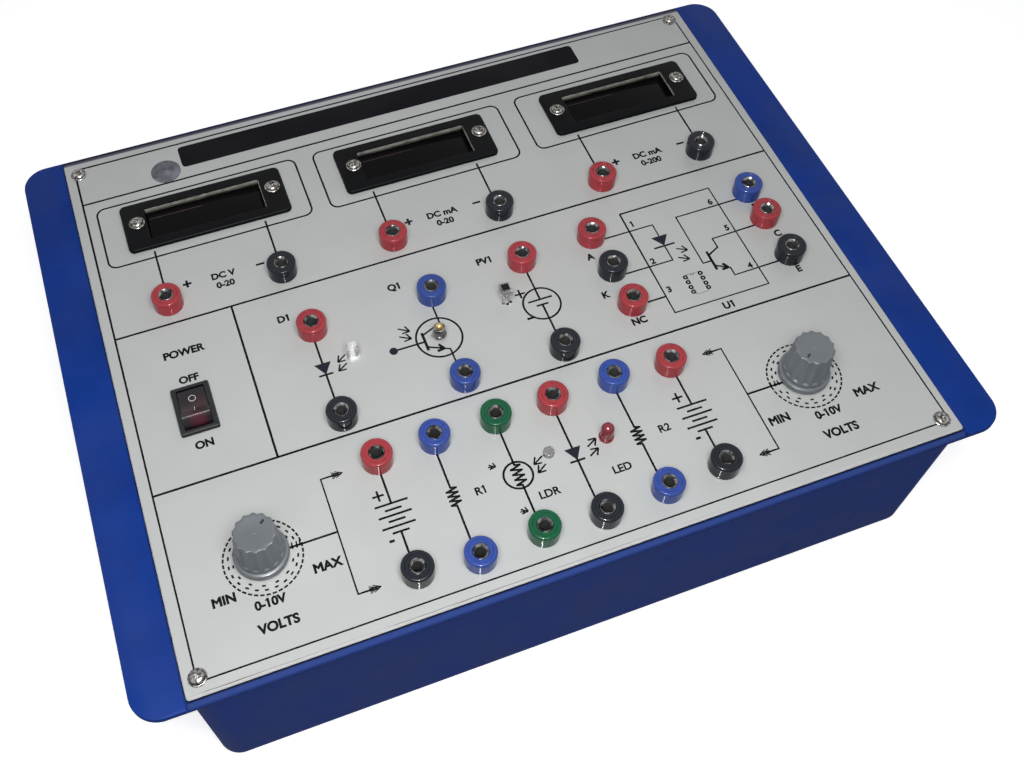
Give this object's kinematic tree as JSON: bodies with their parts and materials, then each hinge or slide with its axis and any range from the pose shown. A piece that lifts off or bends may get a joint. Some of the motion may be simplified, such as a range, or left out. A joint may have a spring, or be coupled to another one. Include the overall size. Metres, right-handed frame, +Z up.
{
  "type": "optoelectronics trainer",
  "caption": "Bench trainer for optoelectronics: blue case with grab wings, sloping view panel, digital meters, rocker switch, turning knobs, test sockets and light-sensing parts.",
  "frame": {"origin": "centre of the footprint, on the surface that the feet stand on", "axes": "+X to the user's right, +Y from the front edge to the rear, +Z up"},
  "size_m": [0.3366, 0.2552, 0.0955],
  "materials": {
    "case_blue": "moulded royal blue, semi-matte",
    "cover_blue": "moulded dark blue, matte",
    "foot_rubber": "matt black",
    "panel_grey": "printed light grey sheet",
    "meter_black": "semi-gloss black",
    "window_red": "clear dark red pane",
    "display_dark": "unlit display block",
    "switch_black": "semi-gloss black",
    "rocker_red": "dark red, unlit",
    "pot_metal": "nickel-plated",
    "knob_grey": "grey, semi-matte",
    "socket_red": "glossy red",
    "socket_black": "glossy black",
    "socket_blue": "glossy blue",
    "socket_green": "glossy dark green",
    "clear_resin": "clear cast resin",
    "gold_can": "gold-plated metal can",
    "cell_resin": "dark clear package",
    "ldr_resin": "grey, lacquered",
    "led_red": "red diffused resin",
    "inlet_black": "black moulded insulator"
  },
  "bodies": {
    "case": {"base_cover": "cover_blue", "case_body": "case_blue", "case_rim": "case_blue", "foot_front_left": "foot_rubber", "foot_front_right": "foot_rubber", "foot_rear_left": "foot_rubber", "foot_rear_right": "foot_rubber", "front_panel": "panel_grey", "led": "led_red", "light_dependent_resistor": "ldr_resin", "mains_inlet": "inlet_black", "meter_1_display": "display_dark", "meter_1_housing": "meter_black", "meter_1_window": "window_red", "meter_2_display": "display_dark", "meter_2_housing": "meter_black", "meter_2_window": "window_red", "meter_3_display": "display_dark", "meter_3_housing": "meter_black", "meter_3_window": "window_red", "photodiode": "clear_resin", "phototransistor": "gold_can", "photovoltaic_cell": "cell_resin", "potentiometer_left": "pot_metal", "potentiometer_right": "pot_metal", "rocker_frame": "switch_black", "socket_coupler_1_red": "socket_red", "socket_coupler_2_black": "socket_black", "socket_coupler_3_red": "socket_red", "socket_coupler_4_black": "socket_black", "socket_coupler_5_red": "socket_red", "socket_coupler_6_blue": "socket_blue", "socket_ldr_lower_green": "socket_green", "socket_ldr_upper_green": "socket_green", "socket_led_black": "socket_black", "socket_led_red": "socket_red", "socket_meter_1_black": "socket_black", "socket_meter_1_red": "socket_red", "socket_meter_2_black": "socket_black", "socket_meter_2_red": "socket_red", "socket_meter_3_black": "socket_black", "socket_meter_3_red": "socket_red", "socket_photodiode_black": "socket_black", "socket_photodiode_red": "socket_red", "socket_phototransistor_lower_blue": "socket_blue", "socket_phototransistor_upper_blue": "socket_blue", "socket_photovoltaic_black": "socket_black", "socket_photovoltaic_red": "socket_red", "socket_resistor_1_lower_blue": "socket_blue", "socket_resistor_1_upper_blue": "socket_blue", "socket_resistor_2_lower_blue": "socket_blue", "socket_resistor_2_upper_blue": "socket_blue", "socket_supply_left_black": "socket_black", "socket_supply_left_red": "socket_red", "socket_supply_right_black": "socket_black", "socket_supply_right_red": "socket_red"},
    "rocker": {"rocker": "rocker_red"},
    "knob_left": {"knob_left": "knob_grey"},
    "knob_right": {"knob_right": "knob_grey"}
  },
  "joints": [
    {"name": "rocker_tip", "type": "hinge", "parent": "case", "child": "rocker", "pos_m": [-0.12255, -0.01713, 0.0753], "axis": [1, 0, 0], "range_deg": [0, 34]},
    {"name": "knob_left_turn", "type": "hinge", "parent": "case", "child": "knob_left", "pos_m": [-0.11355, -0.08338, 0.0863], "axis": [0, 0, 1], "range_deg": [-86, 184]},
    {"name": "knob_right_turn", "type": "hinge", "parent": "case", "child": "knob_right", "pos_m": [0.10425, -0.0825, 0.0863], "axis": [0, 0, 1], "range_deg": [-257, 13]}
  ]
}
